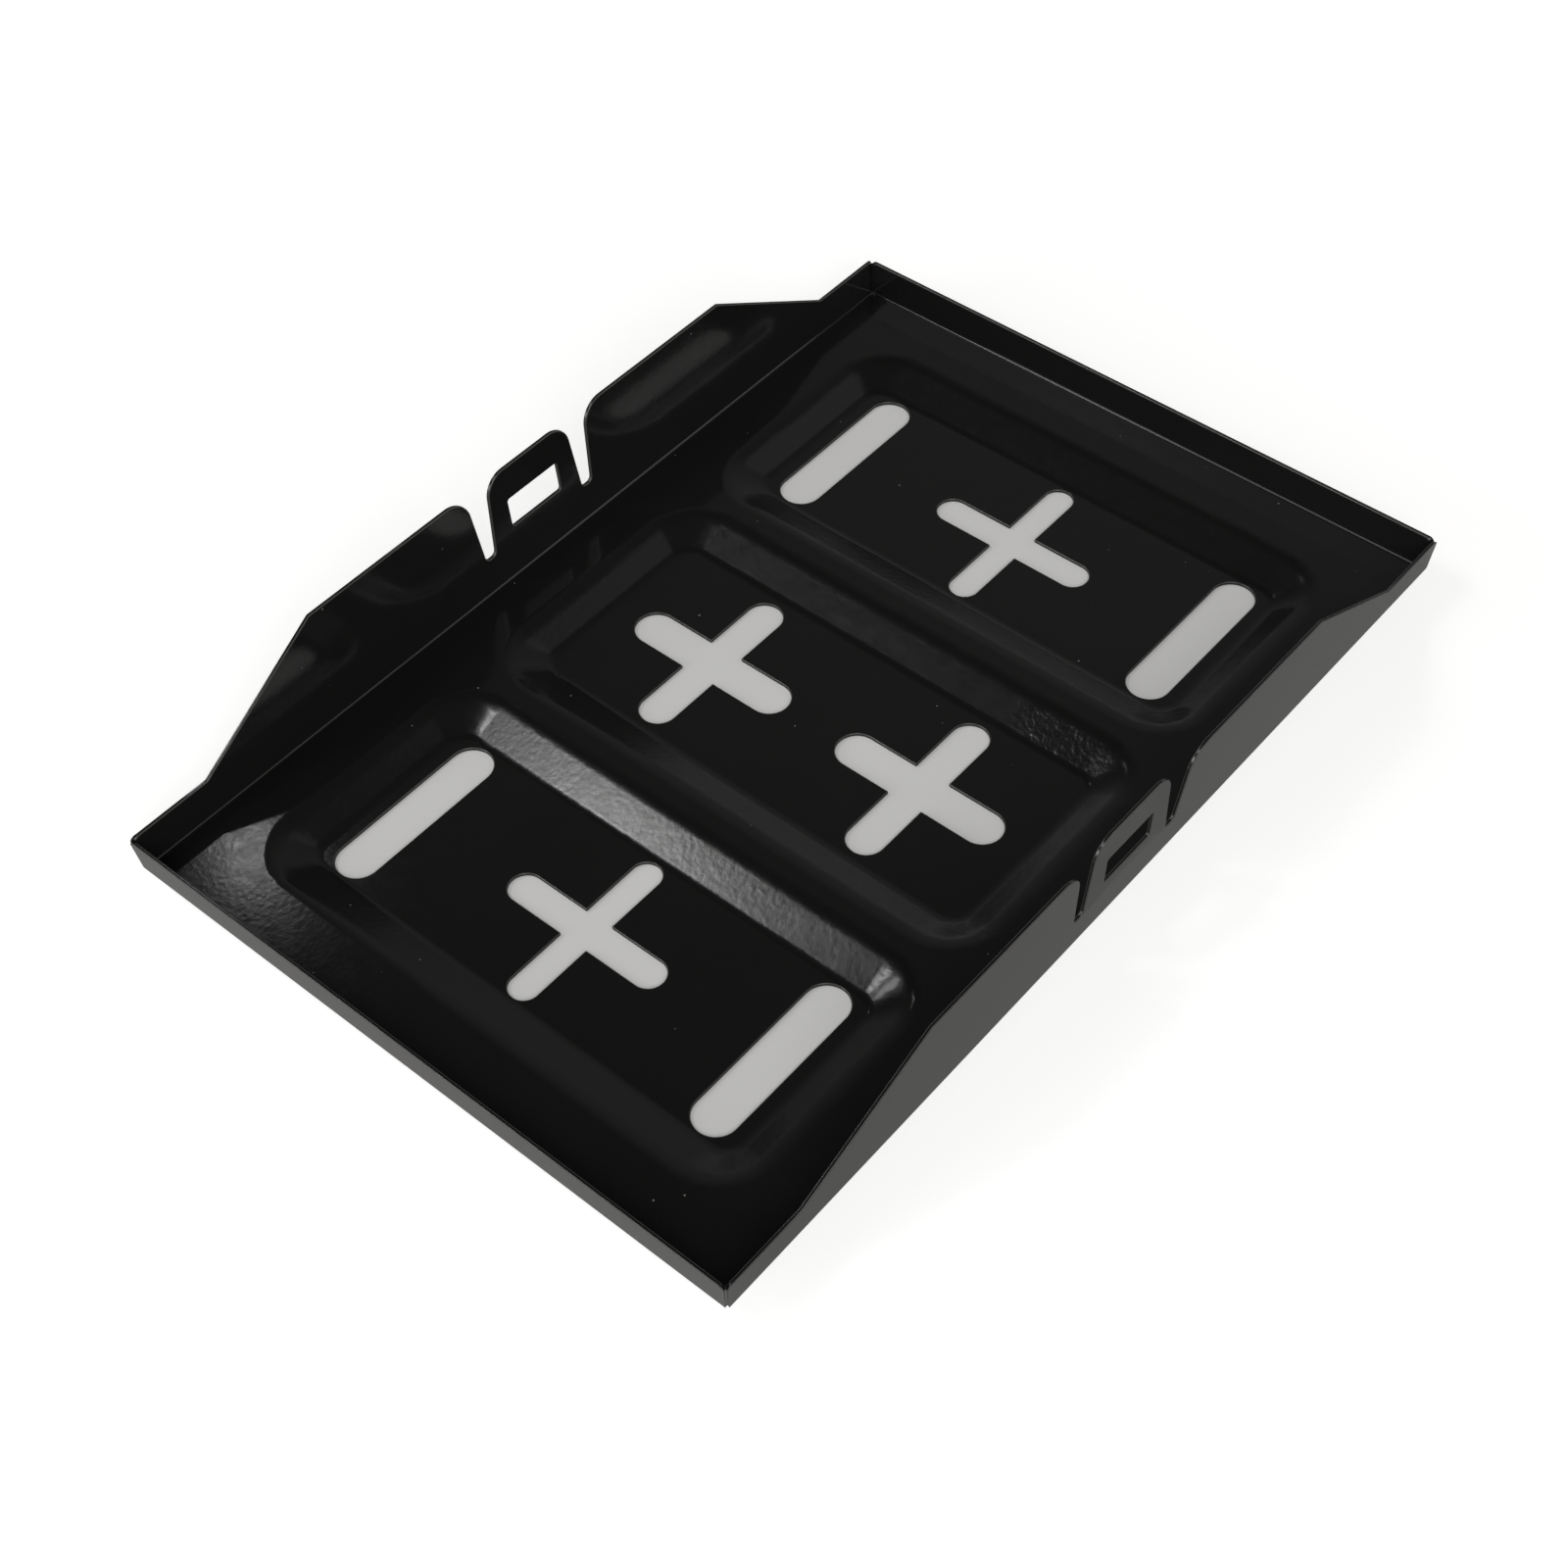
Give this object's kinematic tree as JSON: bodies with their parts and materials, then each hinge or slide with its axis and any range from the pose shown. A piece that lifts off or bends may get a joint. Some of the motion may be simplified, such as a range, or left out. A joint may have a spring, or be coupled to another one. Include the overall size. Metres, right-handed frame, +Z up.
{
  "type": "car battery tray",
  "caption": "Shallow folded sheet-steel tray that a car battery stands in, with pressed pans, bolt slots, drain crosses and slotted strap tabs on its high sides.",
  "frame": {"origin": "midway along and across the folds, level with the undersides of the three pans", "axes": "+X along the tray, +Y from the front long wall to the rear one, +Z up"},
  "size_m": [0.2766, 0.1902, 0.0385],
  "materials": {
    "black_enamel": "gloss black stove enamel on steel sheet, smooth on the flats and slightly dimpled on the pressed bends"
  },
  "bodies": {
    "root": {"tray": "black_enamel"}
  },
  "joints": []
}
